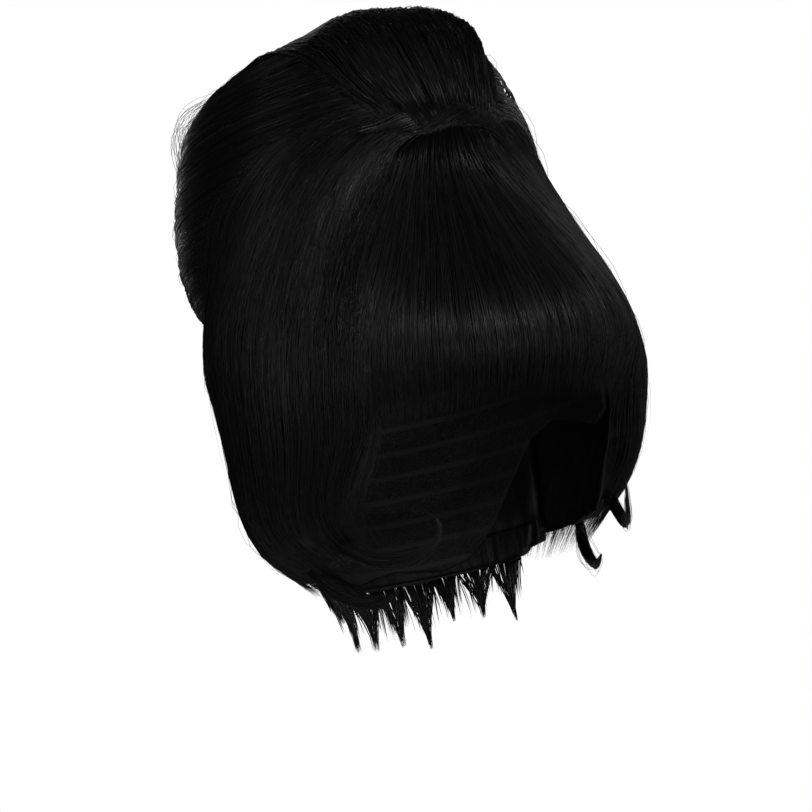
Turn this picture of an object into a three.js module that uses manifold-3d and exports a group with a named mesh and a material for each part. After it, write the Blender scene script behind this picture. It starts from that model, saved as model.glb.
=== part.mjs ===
// Tall two-tier beehive wig with a full fringe, cheek curls and jaw flicks.
// Millimetres, +Z up. The face looks along -Y and the wearer's left is +X.
// The origin is the inside top of the cap, where it sits on the crown of a head.
import * as THREE from "three";
import { mergeVertices } from "three/addons/utils/BufferGeometryUtils.js";
import Module from "manifold-3d";

const wasm = await Module();
wasm.setup();

// Head that the cap fits
const headWidth = 146;
const headDepth = 182;
const headReach = 190;

// Cap and the clearances between pieces
const capWall = 2;
const seam = 0.3;
const tierGap = 0.5;

// Lower tier: the fringe, the sides and the back, down to the jaw
const bodyWidth = 202;
const bodyDepth = 208;
const jawDrop = 162;
const fringeDrop = 95;
const backAngle = 118;

// Upper tier: the sweeps, and the roll that stands proud of them
const sweepWidth = 182;
const sweepDepth = 206;
const sweepTop = 102;
const rollWidth = 86;
const rollThickness = 29;
const rollProud = 5;
const rollLocks = 6;
const rollEndShare = 0.3;
const rollEndPower = 8;

// Waist line between the tiers, and the ring where the lower tier meets the cap
const waistFront = 38;
const waistBack = -28;
const waistDent = 2.5;
const waistReach = 14;
const seatFront = -8;
const seatBack = -40;

// Lower edge of the cap, as drops from the crown
const capFrontDrop = 58;
const capTempleDrop = 104;
const capEarDrop = 96;
const capNapeDrop = 150;

// Relief of the locks, and the rounding of their free edges
const lockRelief = 1.6;
const fringeLocks = 9;
const sideLocks = 5;
const backLocks = 8;
const sweepLocks = 4;
const fringeRound = 14;
const jawRound = 20;
const cheekRound = 27;
const edgeShare = 0.18;
const fringeScallop = 2.5;
const jawScallop = 4;
const ridgeFade = 0.3;
const dentShare = 0.12;
const faceRidgeStart = 0.1;
const faceRidgeEnd = 0.5;
const rollRidgeEnd = 0.4;

// Front gather, nape hair, curls and flicks
const gatherSpan = 44;
const gatherHeight = 15;
const gatherDepth = 11;
const gatherSink = 1.5;
const gatherLobes = 3;
const gatherLobe = 0.14;
const gatherTip = 0.2;
const gatherTurn = 150;
const napeDrop = 188;
const napeTop = 140;
const napeThickness = 6;
const napeTip = 1.5;
const napeAngle = 118;
const napePoints = 5;
const napeScallop = 9;
const curlWidth = 9;
const curlThickness = 4.5;
const flickWidth = 12;
const flickThickness = 5;
const lockLean = 0.35;

const bodyHeight = jawDrop + waistFront;
const sweepHeight = sweepTop - waistBack;
const hairInset = capWall + seam;

// Head: shares of its reach, half its width and half its depth, from the crown down
const headRows = [
  { drop: 0.0, wide: 0.0, front: 0.0, back: 0.0 },
  { drop: 0.008, wide: 0.19, front: 0.154, back: 0.24 },
  { drop: 0.021, wide: 0.342, front: 0.286, back: 0.418 },
  { drop: 0.063, wide: 0.575, front: 0.538, back: 0.648 },
  { drop: 0.142, wide: 0.781, front: 0.758, back: 0.824 },
  { drop: 0.274, wide: 0.945, front: 0.945, back: 0.967 },
  { drop: 0.432, wide: 1.0, front: 1.0, back: 1.0 },
  { drop: 0.589, wide: 1.0, front: 1.0, back: 0.978 },
  { drop: 0.747, wide: 0.904, front: 0.88, back: 0.846 },
  { drop: 0.853, wide: 0.78, front: 0.5, back: 0.79 },
  { drop: 1.0, wide: 0.712, front: 0.34, back: 0.8 },
  { drop: 1.1, wide: 0.7, front: 0.3, back: 0.82 },
];

// Lower tier: shares of its height, half its width and half its depth, from the jaw up
const bodyRows = [
  { up: -0.05, wide: 0.57, front: 0.46, back: 0.71 },
  { up: 0.0, wide: 0.644, front: 0.53, back: 0.77 },
  { up: 0.05, wide: 0.775, front: 0.7, back: 0.915 },
  { up: 0.15, wide: 0.94, front: 0.904, back: 0.98 },
  { up: 0.25, wide: 0.98, front: 0.962, back: 1.025 },
  { up: 0.35, wide: 1.0, front: 0.99, back: 1.0 },
  { up: 0.45, wide: 0.99, front: 1.0, back: 1.01 },
  { up: 0.55, wide: 0.99, front: 0.955, back: 1.085 },
  { up: 0.65, wide: 0.96, front: 0.86, back: 1.095 },
  { up: 0.72, wide: 0.915, front: 0.798, back: 1.09 },
  { up: 0.815, wide: 0.868, front: 0.712, back: 1.1 },
  { up: 0.925, wide: 0.852, front: 0.642, back: 1.17 },
  { up: 1.0, wide: 0.832, front: 0.625, back: 1.17 },
  { up: 1.06, wide: 0.82, front: 0.61, back: 1.17 },
];

// Upper tier: shares of its height, half its width and half its depth, from the low waist up
const sweepRows = [
  { up: -0.08, wide: 0.88, front: 0.62, back: 1.08 },
  { up: 0.0, wide: 0.91, front: 0.635, back: 1.14 },
  { up: 0.115, wide: 0.945, front: 0.66, back: 1.235 },
  { up: 0.2, wide: 0.978, front: 0.68, back: 1.277 },
  { up: 0.308, wide: 1.0, front: 0.69, back: 1.307 },
  { up: 0.469, wide: 0.972, front: 0.672, back: 1.272 },
  { up: 0.623, wide: 0.9, front: 0.614, back: 1.248 },
  { up: 0.754, wide: 0.862, front: 0.574, back: 1.208 },
  { up: 0.892, wide: 0.727, front: 0.495, back: 1.05 },
  { up: 0.965, wide: 0.5, front: 0.38, back: 0.75 },
  { up: 0.993, wide: 0.23, front: 0.15, back: 0.38 },
  { up: 1.0, wide: 0.0, front: -0.1, back: 0.1 },
];

// Line between the fringe and the sides, then along the cheek: degrees from the face
const cheekRows = [
  { up: -0.06, angle: 76 },
  { up: 0.0, angle: 74 },
  { up: 0.11, angle: 69 },
  { up: 0.18, angle: 66 },
  { up: 0.225, angle: 60 },
  { up: 0.275, angle: 54 },
  { up: 0.335, angle: 49 },
  { up: 0.55, angle: 43 },
  { up: 0.8, angle: 30 },
  { up: 1.0, angle: 14 },
  { up: 1.1, angle: 8 },
];

// Roll: stations along the upper tier's middle line, from the gather to the back.
// place runs from the waist (0) to the top (1); width and thickness are shares.
const rollRows = [
  { front: true, place: 0.5, wide: 0.5, thick: 0.45 },
  { front: true, place: 0.57, wide: 0.7, thick: 0.68 },
  { front: true, place: 0.64, wide: 0.86, thick: 0.86 },
  { front: true, place: 0.72, wide: 0.96, thick: 1.0 },
  { front: true, place: 0.83, wide: 1.0, thick: 1.0 },
  { front: false, place: 0.83, wide: 1.0, thick: 0.98 },
  { front: false, place: 0.73, wide: 0.97, thick: 0.94 },
  { front: false, place: 0.65, wide: 0.86, thick: 0.86 },
  { front: false, place: 0.58, wide: 0.66, thick: 0.74 },
  { front: false, place: 0.5, wide: 0.4, thick: 0.5 },
];

// Cheek curl and jaw flick of the right side: shares of half the head's width and
// depth and of the jaw's drop, with each lock's width and thickness as shares
const curlRows = [
  { out: -1.04, ahead: 0.06, drop: 0.83, wide: 1.0, thick: 1.0 },
  { out: -1.0, ahead: 0.2, drop: 0.885, wide: 0.95, thick: 1.0 },
  { out: -0.93, ahead: 0.34, drop: 0.945, wide: 0.76, thick: 0.85 },
  { out: -0.83, ahead: 0.48, drop: 0.965, wide: 0.54, thick: 0.65 },
  { out: -0.74, ahead: 0.62, drop: 0.955, wide: 0.36, thick: 0.5 },
  { out: -0.69, ahead: 0.7, drop: 0.92, wide: 0.25, thick: 0.4 },
  { out: -0.7, ahead: 0.71, drop: 0.88, wide: 0.18, thick: 0.32 },
  { out: -0.74, ahead: 0.66, drop: 0.845, wide: 0.14, thick: 0.26 },
];
const flickRows = [
  { out: -1.02, ahead: -0.18, drop: 0.91, wide: 1.0, thick: 1.0 },
  { out: -0.94, ahead: -0.08, drop: 0.985, wide: 0.88, thick: 1.0 },
  { out: -0.87, ahead: 0.04, drop: 1.035, wide: 0.64, thick: 0.8 },
  { out: -0.81, ahead: 0.16, drop: 1.055, wide: 0.4, thick: 0.55 },
  { out: -0.76, ahead: 0.28, drop: 1.035, wide: 0.16, thick: 0.3 },
];

// Counts of facets
const turnSteps = 32;
const capRows = 7;
const tierRows = 8;
const columnsPerLock = 3;
const rowsPerLock = 2;
const ringSides = 12;
const lockSides = 8;
const gatherStations = 10;
const columnsPerPoint = 4;
const napeRows = 4;
const neckRows = 4;
const wedgeSteps = 6;
const wedgeLevels = 14;

// How far pieces are drawn over the cuts that trim them, and how closely points are found
const trimMargin = 3;
const overdraw = 0.06;
const slopeStep = 0.004;
const flatLimit = 1e-5;
const weldReach = 1e-3;
const halvings = 24;
const settleSteps = 6;

const { sin, cos, PI, abs, min, max, sqrt, floor } = Math;
const { clamp, lerp, smoothstep, degToRad } = THREE.MathUtils;

// Smooth curve through equally spaced values; place runs from 0 to 1
function smoothValue(values, place) {
  const last = values.length - 1;
  const along = clamp(place, 0, 1) * last;
  const index = min(floor(along), last - 1);
  const t = along - index;
  const before = values[max(index - 1, 0)];
  const start = values[index];
  const end = values[index + 1];
  const after = values[min(index + 2, last)];
  const slopeIn = (end - before) / 2;
  const slopeOut = (after - start) / 2;
  const bend = 2 * (start - end) + slopeIn + slopeOut;
  const rise = 3 * (end - start) - 2 * slopeIn - slopeOut;
  return ((bend * t + rise) * t + slopeIn) * t + start;
}

// A form is a stack of ovals: heights, half widths, and reaches to the front and back
function makeForm(rows, heightOf, width, depth) {
  return {
    height: rows.map(heightOf),
    wide: rows.map((row) => (row.wide * width) / 2),
    front: rows.map((row) => (row.front * depth) / 2),
    back: rows.map((row) => (row.back * depth) / 2),
  };
}

const headForm = makeForm(headRows, (row) => -row.drop * headReach, headWidth, headDepth);
const bodyForm = makeForm(
  bodyRows, (row) => row.up * bodyHeight - jawDrop, bodyWidth, bodyDepth);
const sweepForm = makeForm(
  sweepRows, (row) => row.up * sweepHeight + waistBack, sweepWidth, sweepDepth);

function pointOn(form, angle, place) {
  const front = smoothValue(form.front, place);
  const back = smoothValue(form.back, place);
  return new THREE.Vector3(
    smoothValue(form.wide, place) * sin(angle),
    (back - front) / 2 - ((back + front) / 2) * cos(angle),
    smoothValue(form.height, place));
}

// The place on a form that has the given height, found by halving
function placeAt(form, height) {
  const rising = form.height.at(-1) > form.height[0];
  let low = 0;
  let high = 1;
  for (let step = 0; step < halvings; step += 1) {
    const middle = (low + high) / 2;
    const under = smoothValue(form.height, middle) < height;
    if (under === rising) low = middle;
    else high = middle;
  }
  return (low + high) / 2;
}

// A point moved straight out of the form's surface; at a pole that is straight up
function grownPoint(form, angle, place, grow) {
  const along = pointOn(form, angle, min(place + slopeStep, 1))
    .sub(pointOn(form, angle, max(place - slopeStep, 0)));
  const round = pointOn(form, angle + slopeStep, place)
    .sub(pointOn(form, angle - slopeStep, place));
  const point = pointOn(form, angle, place);
  const out = round.cross(along);
  if (out.length() < flatLimit) return point.add(new THREE.Vector3(0, 0, grow));
  out.normalize();
  const middle = pointOn(form, 0, place).add(pointOn(form, PI, place)).multiplyScalar(0.5);
  if (out.dot(point.clone().sub(middle)) < 0) out.negate();
  return point.addScaledVector(out, grow);
}

// Height of a tilted ring that is high at the face and low at the back
function tiltedHeight(angle, front, back) {
  return lerp(back, front, smoothstep((1 + cos(angle)) / 2, 0, 1));
}

const waistHeight = (angle) => tiltedHeight(angle, waistFront, waistBack);
const seatHeight = (angle) => tiltedHeight(angle, seatFront, seatBack);

const cheekLine = {
  height: cheekRows.map((row) => row.up * bodyHeight - jawDrop),
  angle: cheekRows.map((row) => row.angle),
};

function cheekAngle(height) {
  const place = clamp(placeAt(cheekLine, height), 0, 1);
  return degToRad(smoothValue(cheekLine.angle, place));
}

// Rounded fall-off of a thickness towards a free edge
function edgeTaper(distance, reach) {
  const share = clamp(1 - distance / reach, 0, 1);
  return edgeShare + (1 - edgeShare) * sqrt(1 - share * share);
}

// Rounded ridges, one for each lock; phase counts the locks
function lockRidge(phase) {
  return lockRelief * (abs(sin(PI * phase)) - 0.5);
}

// Closed body from a list of points and triangles, turned outwards
function makeBody(points, triangles) {
  const loose = new THREE.BufferGeometry();
  const numbers = points.flatMap((point) => point.toArray());
  loose.setAttribute("position", new THREE.Float32BufferAttribute(numbers, 3));
  loose.setIndex(triangles.flat());
  const merged = mergeVertices(loose, weldReach);
  const index = merged.index.array;
  const kept = [];
  for (let i = 0; i < index.length; i += 3) {
    const [a, b, c] = [index[i], index[i + 1], index[i + 2]];
    if (a !== b && b !== c && c !== a) kept.push(a, b, c);
  }
  const vertProperties = merged.attributes.position.array;
  let made = new wasm.Manifold(
    new wasm.Mesh({ numProp: 3, vertProperties, triVerts: new Uint32Array(kept) }));
  if (made.volume() < 0) {
    const turned = new Uint32Array(kept.reverse());
    made = new wasm.Manifold(new wasm.Mesh({ numProp: 3, vertProperties, triVerts: turned }));
  }
  return made;
}

// Body between an outer and an inner grid. across and down run from 0 to 1. A round
// body closes on itself across; a domed one ends each grid in a point at down = 1.
function shellBody({ columns, rows, round, domed, outerAt, innerAt }) {
  const points = [];
  const triangles = [];
  const width = round ? columns : columns + 1;
  const grids = [outerAt, innerAt].map((pointAt) => {
    const first = points.length;
    for (let row = 0; row <= rows; row += 1) {
      for (let column = 0; column < width; column += 1) {
        points.push(pointAt(column / columns, row / rows));
      }
    }
    return (column, row) => first + row * width + (column % width);
  });
  const quad = (a, b, c, d) => triangles.push([a, b, c], [a, c, d]);
  const [outer, inner] = grids;
  for (let row = 0; row < rows; row += 1) {
    for (let column = 0; column < columns; column += 1) {
      const [next, below] = [column + 1, row + 1];
      quad(outer(column, row), outer(column, below), outer(next, below), outer(next, row));
      quad(inner(column, row), inner(next, row), inner(next, below), inner(column, below));
    }
  }
  for (let column = 0; column < columns; column += 1) {
    const next = column + 1;
    quad(outer(column, 0), outer(next, 0), inner(next, 0), inner(column, 0));
    if (domed) continue;
    quad(outer(next, rows), outer(column, rows), inner(column, rows), inner(next, rows));
  }
  for (let row = 0; row < rows && !round; row += 1) {
    const below = row + 1;
    quad(outer(0, below), outer(0, row), inner(0, row), inner(0, below));
    quad(outer(columns, row), outer(columns, below), inner(columns, below), inner(columns, row));
  }
  return makeBody(points, triangles);
}

// Body through a row of rings, closed by a fan at each end
function ringBody(rings) {
  const points = rings.flat();
  const sides = rings[0].length;
  const triangles = [];
  for (let ring = 0; ring < rings.length - 1; ring += 1) {
    for (let side = 0; side < sides; side += 1) {
      const a = ring * sides + side;
      const b = ring * sides + ((side + 1) % sides);
      triangles.push([a, b, b + sides], [a, b + sides, a + sides]);
    }
  }
  for (const ring of [0, rings.length - 1]) {
    const centre = new THREE.Vector3();
    rings[ring].forEach((point) => centre.addScaledVector(point, 1 / sides));
    points.push(centre);
    for (let side = 0; side < sides; side += 1) {
      const a = ring * sides + side;
      const b = ring * sides + ((side + 1) % sides);
      triangles.push(ring === 0 ? [b, a, points.length - 1] : [a, b, points.length - 1]);
    }
  }
  return makeBody(points, triangles);
}

// Wedge of space between two upright lines that turn with height, round the head's axis
function wedge(fromAngle, toAngle) {
  const reach = bodyDepth;
  const [bottom, top] = [-headReach - jawScallop, waistFront + tierGap * 4];
  const rings = [];
  for (let level = 0; level <= wedgeLevels; level += 1) {
    const height = lerp(bottom, top, level / wedgeLevels);
    const ring = [new THREE.Vector3(0, 0, height)];
    for (let step = 0; step <= wedgeSteps; step += 1) {
      const angle = lerp(fromAngle(height), toAngle(height), step / wedgeSteps);
      ring.push(new THREE.Vector3(reach * sin(angle), -reach * cos(angle), height));
    }
    rings.push(ring);
  }
  return ringBody(rings);
}

// Angle that leaves half a seam beside a wedge, on the head's surface
const seamAngle = seam / headWidth;

// Cap
function capEdgeDrop(angle) {
  const rows = [capFrontDrop, capFrontDrop, capTempleDrop, capEarDrop, capNapeDrop, capNapeDrop];
  return smoothValue(rows, abs(angle > PI ? 2 * PI - angle : angle) / PI);
}

function makeCap() {
  const surface = (grow) => (across, down) => {
    const angle = across * 2 * PI;
    const edge = placeAt(headForm, -capEdgeDrop(angle));
    return grownPoint(headForm, angle, (1 - down) * edge, grow);
  };
  return shellBody({
    columns: turnSteps,
    rows: capRows,
    round: true,
    domed: true,
    outerAt: surface(capWall),
    innerAt: surface(0),
  });
}

// Lower tier: a point of its outer surface, drawn in to the cap by a share
function bodyPoint(angle, height, share, relief) {
  const inner = grownPoint(headForm, angle, placeAt(headForm, height), capWall);
  const outer = pointOn(bodyForm, angle, placeAt(bodyForm, height));
  const waist = waistHeight(angle);
  const dent = waistDent * (1 - smoothstep(waist - height, 0, waistReach));
  const out = new THREE.Vector3(sin(angle), -cos(angle), 0);
  outer.addScaledVector(out, relief * share - dent);
  return new THREE.Vector3(
    lerp(inner.x, outer.x, share),
    lerp(inner.y, outer.y, share),
    height);
}

function tierPiece({ columns, angleAt, edgeAt, shareAt, ridgeAt }) {
  const angleHere = (across, down, top) => {
    let angle = angleAt(across, waistFront);
    let height = waistFront;
    for (let step = 0; step < settleSteps; step += 1) {
      height = lerp(top(angle), edgeAt(across), down);
      angle = angleAt(across, height);
    }
    return { angle, height };
  };
  const waistTop = (angle) => waistHeight(angle) + trimMargin;
  const seatTop = (angle) => seatHeight(angle) + trimMargin;
  return shellBody({
    columns,
    rows: tierRows,
    outerAt: (across, down) => {
      const { angle, height } = angleHere(across, down, waistTop);
      const share = shareAt(across, angle, height);
      return bodyPoint(angle, height, share, ridgeAt(across, down));
    },
    innerAt: (across, down) => {
      const { angle, height } = angleHere(across, down, seatTop);
      return pointOn(headForm, angle, placeAt(headForm, height));
    },
  });
}

// Pieces are drawn a little wider than their wedge, which then trims them
const widen = (across) => lerp(-overdraw, 1 + overdraw, across);

function makeFringe() {
  const columns = fringeLocks * columnsPerLock;
  const edgeAt = (across) => -fringeDrop - fringeScallop * abs(cos(PI * fringeLocks * across));
  const piece = tierPiece({
    columns,
    angleAt: (across, height) => lerp(-1, 1, widen(across)) * cheekAngle(height),
    edgeAt,
    shareAt: (across, angle, height) => edgeTaper(height - edgeAt(across), fringeRound),
    ridgeAt: (across, down) => lockRidge(fringeLocks * across) * smoothstep(down, 0, ridgeFade),
  });
  return piece.intersect(wedge(
    (height) => -cheekAngle(height) + seamAngle,
    (height) => cheekAngle(height) - seamAngle));
}

// side is 1 for the wearer's left and -1 for the right
function makeSide(side) {
  const rear = degToRad(backAngle);
  const edgeAt = (across) => -jawDrop + jawScallop * abs(sin(PI * sideLocks * across));
  const piece = tierPiece({
    columns: sideLocks * columnsPerLock,
    angleAt: (across, height) => side * lerp(cheekAngle(height), rear, widen(across)),
    edgeAt,
    shareAt: (across, angle, height) => {
      const fromCheek = (abs(angle) - cheekAngle(height)) * (headWidth / 2);
      const cheek = edgeTaper(max(fromCheek, 0), cheekRound);
      const open = smoothstep(-fringeDrop + fringeRound - height, 0, fringeRound * 2);
      return lerp(1, cheek, open) * edgeTaper(height - edgeAt(across), jawRound);
    },
    ridgeAt: (across, down) => lockRidge(sideLocks * across) * smoothstep(down, 0, ridgeFade),
  });
  const near = (height) => side * (cheekAngle(height) + seamAngle);
  const far = () => side * (rear - seamAngle);
  return piece.intersect(side > 0 ? wedge(far, near) : wedge(near, far));
}

function makeBack() {
  const rear = degToRad(backAngle);
  const edgeAt = (across) => -jawDrop + jawScallop * abs(sin(PI * backLocks * across));
  const piece = tierPiece({
    columns: backLocks * columnsPerLock,
    angleAt: (across) => lerp(rear, 2 * PI - rear, widen(across)),
    edgeAt,
    shareAt: (across, angle, height) => edgeTaper(height - edgeAt(across), jawRound),
    ridgeAt: (across, down) => lockRidge(backLocks * across) * smoothstep(down, 0, ridgeFade),
  });
  return piece.intersect(wedge(() => rear + seamAngle, () => 2 * PI - rear - seamAngle));
}

// Upper tier: a dome over the cap, from the waist line to the top
function makeDome() {
  return shellBody({
    columns: turnSteps,
    rows: sweepLocks * rowsPerLock,
    round: true,
    domed: true,
    outerAt: (across, up) => {
      const angle = across * 2 * PI;
      const start = placeAt(sweepForm, waistHeight(angle) - trimMargin);
      const place = lerp(start, 1, up);
      const fromFace = smoothstep(abs(sin(angle / 2)), faceRidgeStart, faceRidgeEnd);
      const ridge = lockRidge(sweepLocks * up) * smoothstep(1 - up, 0, ridgeFade) * fromFace;
      const dent = waistDent * (1 - smoothstep(up, 0, dentShare)) * (1 - up);
      return grownPoint(sweepForm, angle, place, ridge - dent);
    },
    innerAt: (across, up) => {
      const angle = across * 2 * PI;
      const start = placeAt(headForm, seatHeight(angle) - trimMargin);
      return pointOn(headForm, angle, lerp(start, 0, up));
    },
  });
}

// Roll over the top. grow widens it all round, for the groove that it lies in.
function makeRoll(grow) {
  const centres = rollRows.map((row) => {
    const depth = rollProud - (row.thick * rollThickness) / 2;
    return grownPoint(sweepForm, row.front ? 0 : PI, row.place, depth);
  });
  centres.forEach((centre) => centre.setX(0));
  const path = new THREE.CatmullRomCurve3(centres);
  const stations = (rollRows.length - 1) * 2;
  const rings = [];
  for (let station = 0; station <= stations; station += 1) {
    const share = station / stations;
    const centre = path.getPoint(share);
    const along = path.getTangent(share);
    const out = new THREE.Vector3(0, -along.z, along.y);
    const closing = sqrt(1 - (2 * share - 1) ** rollEndPower);
    const endSize = max(closing, rollEndShare);
    const wide = (smoothValue(rollRows.map((row) => row.wide), share) * rollWidth) / 2;
    const thick = (smoothValue(rollRows.map((row) => row.thick), share) * rollThickness) / 2;
    const end = station === 0 ? -grow : station === stations ? grow : 0;
    const ring = [];
    for (let side = 0; side < ringSides * 2; side += 1) {
      const angle = (side * PI) / ringSides;
      const phase = (rollLocks * side) / (ringSides * 2);
      const ridge = lockRidge(phase) * smoothstep(cos(angle), 0, rollRidgeEnd) * closing;
      const width = wide * endSize + grow;
      const height = thick * endSize + grow + ridge;
      ring.push(centre.clone()
        .add(new THREE.Vector3(width * sin(angle), 0, 0))
        .addScaledVector(out, height * cos(angle))
        .addScaledVector(along, end));
    }
    rings.push(ring);
  }
  return ringBody(rings);
}

// Gather: a low twist of hair along the front of the waist. It lies on whichever tier
// reaches farther forward there. grow widens it all round, for the groove that it lies in.
function makeGather(grow) {
  const middleAt = (angle) => {
    const middles = [bodyForm, sweepForm].map((form) =>
      pointOn(form, angle, placeAt(form, waistHeight(angle))));
    middles.sort((a, b) => b.lengthSq() - a.lengthSq());
    return middles[0];
  };
  const rings = [];
  for (let station = 0; station <= gatherStations; station += 1) {
    const share = (2 * station) / gatherStations - 1;
    const turn = (share * degToRad(gatherSpan)) / 2;
    const along = new THREE.Vector3(cos(turn), sin(turn), 0);
    const out = new THREE.Vector3(sin(turn), -cos(turn), 0);
    const end = station === 0 ? -grow : station === gatherStations ? grow : 0;
    const centre = middleAt(turn).addScaledVector(out, -gatherSink).addScaledVector(along, end);
    const size = max(sqrt(1 - share * share), gatherTip);
    const ring = [];
    for (let side = 0; side < ringSides; side += 1) {
      const angle = (side * 2 * PI) / ringSides;
      const lobe = 1 + gatherLobe * cos(gatherLobes * (angle + degToRad(gatherTurn) * share));
      ring.push(centre.clone()
        .addScaledVector(out, ((size * lobe * gatherDepth) / 2 + grow) * sin(angle))
        .add(new THREE.Vector3(0, 0, ((size * lobe * gatherHeight) / 2 + grow) * cos(angle))));
    }
    rings.push(ring);
  }
  return ringBody(rings);
}

// Nape hair: a thin wrap on the neck with pointed ends
function makeNape(grow) {
  const from = degToRad(napeAngle) - grow / (headWidth / 2);
  const surface = (offsetAt) => (across, down) => {
    const angle = lerp(from, 2 * PI - from, across);
    const side = abs(2 * across - 1);
    const point = napeScallop * (1 - abs(cos(PI * napePoints * across)));
    const edge = -napeDrop + point + napeScallop * side - grow;
    const height = lerp(-napeTop + grow, edge, down);
    return grownPoint(headForm, angle, placeAt(headForm, height), offsetAt(down));
  };
  return shellBody({
    columns: napePoints * columnsPerPoint,
    rows: napeRows,
    outerAt: surface((down) => hairInset + lerp(napeThickness, napeTip, down) + grow),
    innerAt: surface(() => -grow),
  });
}

// Tapered lock along a row of points, flat towards the cheek
function makeLock(rows, side, width, thickness, grow) {
  const path = new THREE.CatmullRomCurve3(rows.map((row) => new THREE.Vector3(
    (-side * row.out * headWidth) / 2,
    (-row.ahead * headDepth) / 2,
    -row.drop * jawDrop)));
  const stations = (rows.length - 1) * 2;
  const rings = [];
  for (let station = 0; station <= stations; station += 1) {
    const share = station / stations;
    const centre = path.getPoint(share);
    const along = path.getTangent(share);
    const out = new THREE.Vector3(side, -lockLean, 0).projectOnPlane(along).normalize();
    const broad = along.clone().cross(out);
    const wide = (smoothValue(rows.map((row) => row.wide), share) * width) / 2 + grow;
    const thick = (smoothValue(rows.map((row) => row.thick), share) * thickness) / 2 + grow;
    const end = station === 0 ? -grow : station === stations ? grow : 0;
    const ring = [];
    for (let corner = 0; corner < lockSides; corner += 1) {
      const angle = (corner * 2 * PI) / lockSides;
      ring.push(centre.clone()
        .addScaledVector(broad, wide * cos(angle))
        .addScaledVector(out, thick * sin(angle))
        .addScaledVector(along, end));
    }
    rings.push(ring);
  }
  return ringBody(rings);
}

// The largest body that a cut leaves, without the slivers beside it
function mainBody(body) {
  const bodies = body.decompose().sort((a, b) => b.volume() - a.volume());
  return bodies[0];
}

// The space that the head and the cap take up, with a seam's clearance round the cap.
// Its rows follow the cap's rows and then run on down to the end of the head form.
function makeHeadSpace() {
  const rings = [];
  for (let row = 0; row <= capRows + neckRows; row += 1) {
    const ring = [];
    for (let column = 0; column < turnSteps; column += 1) {
      const angle = (column * 2 * PI) / turnSteps;
      const edge = placeAt(headForm, -capEdgeDrop(angle));
      const place = row > capRows
        ? lerp(edge, 1, (row - capRows) / neckRows)
        : (row / capRows) * edge;
      ring.push(grownPoint(headForm, angle, place, hairInset));
    }
    rings.unshift(ring);
  }
  return ringBody(rings);
}

// All the space under the joint between the tiers, which rises from the cap to the waist
function makeLowerSpace(lift) {
  const reach = bodyDepth;
  const ringAt = (pointAt) => Array.from({ length: turnSteps }, (_, column) => {
    const angle = (column * 2 * PI) / turnSteps;
    return pointAt(angle).add(new THREE.Vector3(0, 0, lift));
  });
  const far = (angle, height) => new THREE.Vector3(reach * sin(angle), -reach * cos(angle), height);
  const waistPoint = (angle) => pointOn(bodyForm, angle, placeAt(bodyForm, waistHeight(angle)));
  const seatPoint = (angle) => {
    const place = placeAt(headForm, seatHeight(angle));
    return grownPoint(headForm, angle, place, hairInset).setZ(seatHeight(angle));
  };
  const deepPoint = (angle) => seatPoint(angle).multiplyScalar(0.5).setZ(-headReach / 2);
  return ringBody([
    ringAt((angle) => far(angle, -headReach * 2)),
    ringAt((angle) => far(angle, waistHeight(angle))),
    ringAt(waistPoint),
    ringAt(seatPoint),
    ringAt(deepPoint),
  ]);
}

// Half of space on one side of the middle plane, less half a seam
function halfSpace(side) {
  const reach = sweepDepth * 2;
  const box = new THREE.BoxGeometry(reach, reach, reach);
  box.deleteAttribute("normal");
  box.deleteAttribute("uv");
  box.translate(side * (reach / 2 + seam / 2), 0, 0);
  const merged = mergeVertices(box);
  return new wasm.Manifold(new wasm.Mesh({
    numProp: 3,
    vertProperties: merged.attributes.position.array,
    triVerts: new Uint32Array(merged.index.array),
  }));
}

const group = new THREE.Group();

function addMesh(name, body, color, roughness) {
  const { vertProperties, triVerts } = mainBody(body).getMesh();
  const geometry = new THREE.BufferGeometry();
  geometry.setAttribute("position", new THREE.BufferAttribute(vertProperties, 3));
  geometry.setIndex(new THREE.BufferAttribute(triVerts, 1));
  geometry.computeVertexNormals();
  const material = new THREE.MeshStandardMaterial({ color, roughness, metalness: 0 });
  const mesh = new THREE.Mesh(geometry, material);
  mesh.name = name;
  group.add(mesh);
}

const hairColor = 0x100e0e;
const hairRoughness = 0.42;
const netColor = 0x1a1817;
const netRoughness = 0.85;

const headSpace = makeHeadSpace();
const lowerSpace = makeLowerSpace(0);
const gatherSpace = makeGather(seam);
const rollSpace = makeRoll(seam);
const napeSpace = makeNape(seam);

// A lower tier piece, clear of the cap, the gather, the roll and the nape hair
function trimmedLower(body) {
  return [gatherSpace, rollSpace, napeSpace, headSpace]
    .reduce((left, space) => left.subtract(space), body.intersect(lowerSpace));
}

addMesh("wig_cap", makeCap(), netColor, netRoughness);
addMesh("front_gather", makeGather(0), hairColor, hairRoughness);
addMesh("fringe", trimmedLower(makeFringe()), hairColor, hairRoughness);
addMesh("top_roll", makeRoll(0).subtract(gatherSpace), hairColor, hairRoughness);
addMesh("back_drape", trimmedLower(makeBack()), hairColor, hairRoughness);
addMesh("nape_fringe", makeNape(0).subtract(headSpace), hairColor, hairRoughness);

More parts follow.
